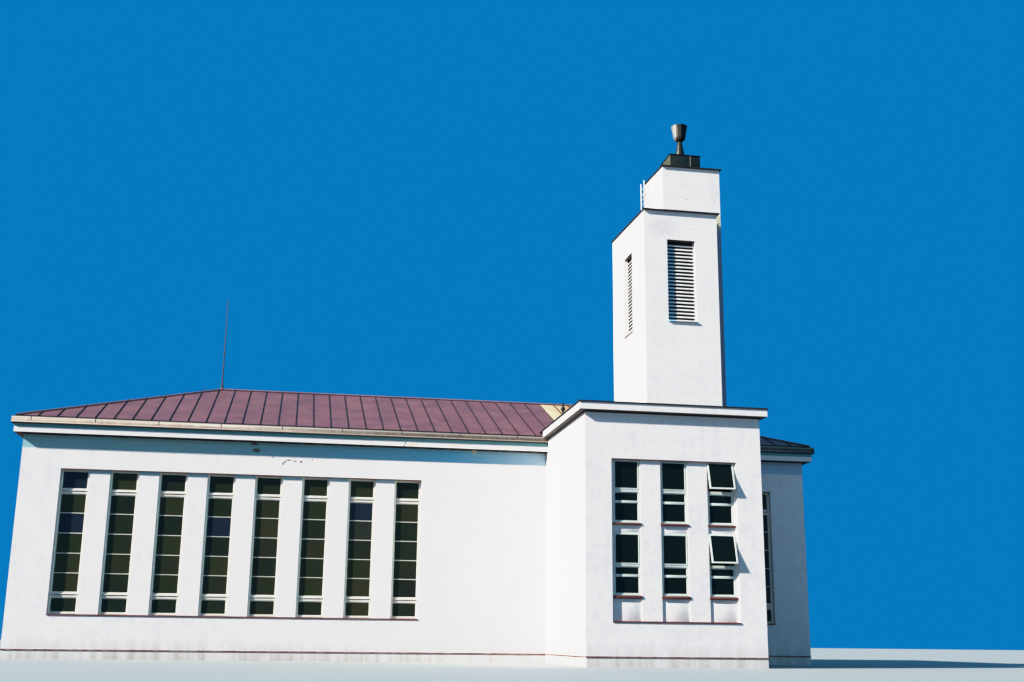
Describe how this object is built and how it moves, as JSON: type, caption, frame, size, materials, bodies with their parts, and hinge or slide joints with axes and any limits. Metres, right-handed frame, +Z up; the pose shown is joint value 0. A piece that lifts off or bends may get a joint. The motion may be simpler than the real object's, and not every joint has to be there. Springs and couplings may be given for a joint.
{
  "type": "modern church building",
  "caption": "White rendered church: hipped sheet-metal hall roof, rows of tall windows, front block with open casements, and a stepped louvred bell tower carrying a copper plinth and chalice.",
  "frame": {"origin": "on the ground under the middle of the whole building's box", "axes": "+X runs along the hall to the viewer's right as its front is faced, +Y from front to back, +Z up"},
  "size_m": [38.4, 23.22, 26.19],
  "materials": {
    "render": "white lime render, weathered and lightly stained",
    "concrete": "bare cast concrete floor",
    "roof_sheet": "oxide-mauve painted standing-seam sheet, faded",
    "ridge_sheet": "lighter mauve painted sheet",
    "gutter_sheet": "tan paint on zinc sheet, streaked",
    "frame_paint": "cream oil paint on timber, worn",
    "window_glass": "clear float glass over a dark room",
    "dark_sheet": "near-black painted sheet, matt",
    "louvre_paint": "white oil paint on timber slats",
    "ladder_paint": "white painted steel, rust at the joints",
    "rusty_steel": "brown rusted steel",
    "door_wood": "brown oiled planks",
    "copper": "dark green patinated copper sheet with folded seams",
    "bronze": "dark aged bronze sheet, satin"
  },
  "bodies": {
    "root": {"nave_front_wall": "render", "nave_back_wall": "render", "nave_left_wall": "render", "nave_right_wall": "render", "nave_floor": "concrete", "entrance_door": "door_wood", "nave_front_left_windows": "frame_paint", "nave_front_right_windows": "frame_paint", "nave_back_windows": "frame_paint", "nave_front_glass": "window_glass", "nave_back_glass": "window_glass", "nave_cornice": "render", "gutter_front_left": "gutter_sheet", "gutter_front_right": "gutter_sheet", "gutter_back": "gutter_sheet", "gutter_left": "gutter_sheet", "gutter_right": "gutter_sheet", "nave_roof_front": "roof_sheet", "nave_roof_back": "roof_sheet", "nave_roof_left_end": "roof_sheet", "nave_roof_right_end": "roof_sheet", "ridge_roll": "ridge_sheet", "lightning_rod": "rusty_steel", "block_front_wall": "render", "block_left_wall": "render", "block_right_wall": "render", "block_lower_floor": "concrete", "block_upper_floor": "concrete", "block_roof_slab": "render", "block_roof_sheet": "dark_sheet", "block_front_bays": "frame_paint", "block_open_bay": "frame_paint", "block_right_bays": "frame_paint", "block_lower_glass": "window_glass", "block_upper_glass": "window_glass", "open_casement_lower": "frame_paint", "open_casement_upper": "frame_paint", "roof_vent": "dark_sheet", "tower_front_wall": "render", "tower_back_wall": "render", "tower_left_wall": "render", "tower_right_wall": "render", "tower_slab": "render", "tower_roof_sheet": "dark_sheet", "tower_shaft": "render", "shaft_roof_sheet": "dark_sheet", "front_louvre": "louvre_paint", "left_louvre": "louvre_paint", "back_louvre": "louvre_paint", "front_louvre_backing": "dark_sheet", "left_louvre_backing": "dark_sheet", "back_louvre_backing": "dark_sheet", "tower_ladder": "ladder_paint", "copper_plinth": "copper", "chalice": "bronze"}
  },
  "joints": []
}
